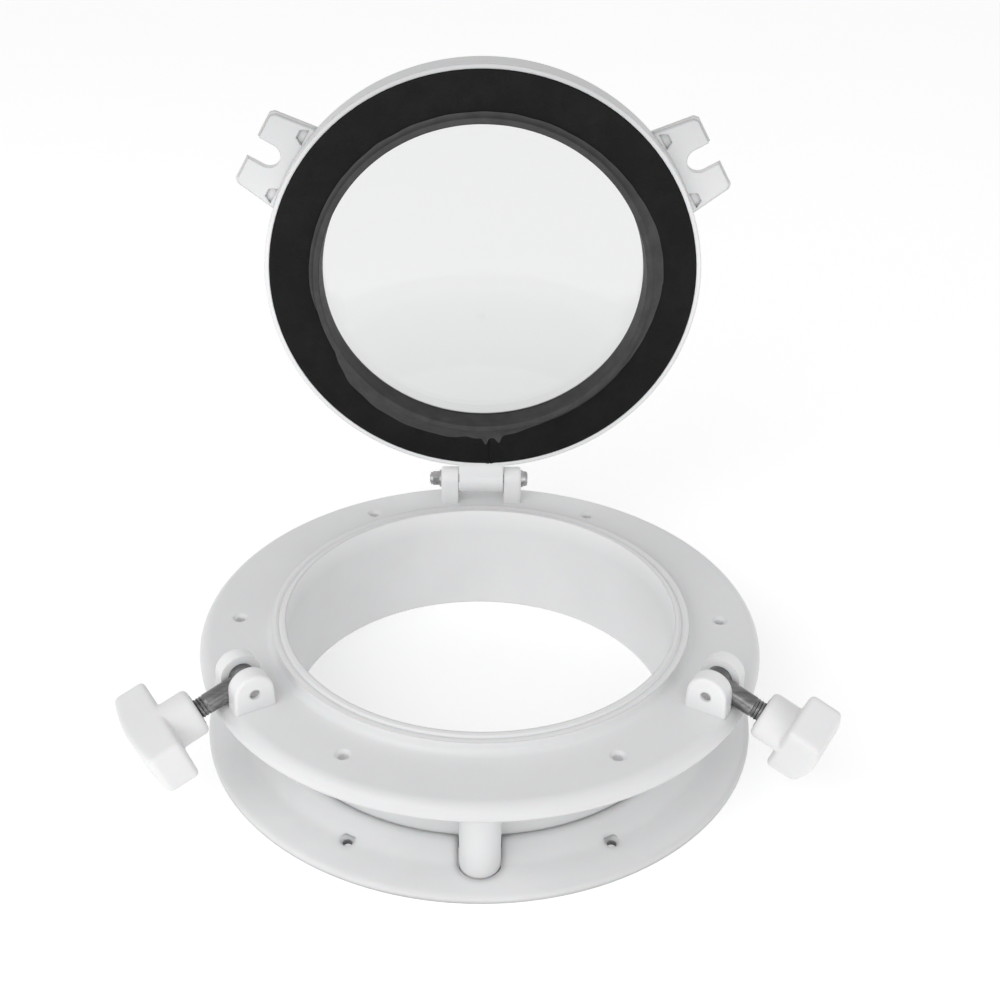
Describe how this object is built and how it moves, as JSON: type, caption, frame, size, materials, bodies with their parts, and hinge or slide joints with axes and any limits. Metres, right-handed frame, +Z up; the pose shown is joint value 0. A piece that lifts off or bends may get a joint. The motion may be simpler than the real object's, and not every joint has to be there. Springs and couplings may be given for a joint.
{
  "type": "round opening portlight",
  "caption": "Round plastic opening portlight with a hinged glazed lid, flat gasket, swing-bolt dogs with T-knobs and a loose trim ring for clamping a panel.",
  "frame": {"origin": "centre of the trim ring's screw circle, on the opening's axis, in the plane of the spigot's end and the ring's flat face", "axes": "+Z up through the opening towards the lid's side; the hinge is at +Y and the drain spout at -Y"},
  "size_m": [0.333, 0.282, 0.3092],
  "materials": {
    "white_moulding": "satin",
    "white_knob": "satin",
    "black_rubber": "matte",
    "grey_retainer": "matte",
    "clear_pane": "clear",
    "stainless": "brushed",
    "bolt_steel": "brushed"
  },
  "bodies": {
    "frame": {"frame_moulding": "white_moulding", "dog_pin_left": "stainless", "dog_pin_right": "stainless", "hinge_bolt": "stainless", "hinge_nut": "stainless", "hinge_washer_left": "stainless", "hinge_washer_right": "stainless"},
    "trim_ring": {"trim_ring": "white_moulding"},
    "lid": {"lid_ring": "white_moulding", "lid_pane": "clear_pane", "pane_seal": "black_rubber", "pane_retainer": "grey_retainer", "lid_gasket": "black_rubber"},
    "dog_left": {"swing_bolt_left": "bolt_steel"},
    "dog_right": {"swing_bolt_right": "bolt_steel"},
    "washer_left": {"knob_washer_left": "bolt_steel"},
    "washer_right": {"knob_washer_right": "bolt_steel"},
    "knob_left": {"knob_left": "white_knob", "knob_insert_left": "stainless"},
    "knob_right": {"knob_right": "white_knob", "knob_insert_right": "stainless"}
  },
  "joints": [
    {"name": "lid_hinge", "type": "hinge", "parent": "frame", "child": "lid", "pos_m": [0, 0.1263, 0.06735], "axis": [-1, 0, 0], "range_deg": [-86.25, 73.75]},
    {"name": "trim_ring_slide", "type": "slide", "parent": "frame", "child": "trim_ring", "axis": [0, 0, 1], "range_m": [0, 0.0355]},
    {"name": "dog_left_swing", "type": "hinge", "parent": "frame", "child": "dog_left", "pos_m": [-0.10999, -0.0635, 0.0641], "axis": [-0.5, 0.866, 0], "range_deg": [0, 109.5]},
    {"name": "knob_left_travel", "type": "slide", "parent": "dog_left", "child": "washer_left", "axis": [-0.8164, -0.4713, -0.3338], "range_m": [-0.0057, 0.0076]},
    {"name": "knob_left_turn", "type": "hinge", "parent": "washer_left", "child": "knob_left", "pos_m": [-0.10999, -0.0635, 0.0641], "axis": [-0.8164, -0.4713, -0.3338], "range_deg": [-1350, 1800]},
    {"name": "dog_right_swing", "type": "hinge", "parent": "frame", "child": "dog_right", "pos_m": [0.10999, -0.0635, 0.0641], "axis": [-0.5, -0.866, 0], "range_deg": [0, 109.5]},
    {"name": "knob_right_travel", "type": "slide", "parent": "dog_right", "child": "washer_right", "axis": [0.8164, -0.4713, -0.3338], "range_m": [-0.0057, 0.0076]},
    {"name": "knob_right_turn", "type": "hinge", "parent": "washer_right", "child": "knob_right", "pos_m": [0.10999, -0.0635, 0.0641], "axis": [0.8164, -0.4713, -0.3338], "range_deg": [-1350, 1800]}
  ],
  "couplings": [
    {"joint": "knob_left_travel", "follows": "knob_left_turn", "m_per_rad": 0.00023873},
    {"joint": "knob_right_travel", "follows": "knob_right_turn", "m_per_rad": 0.00023873}
  ]
}
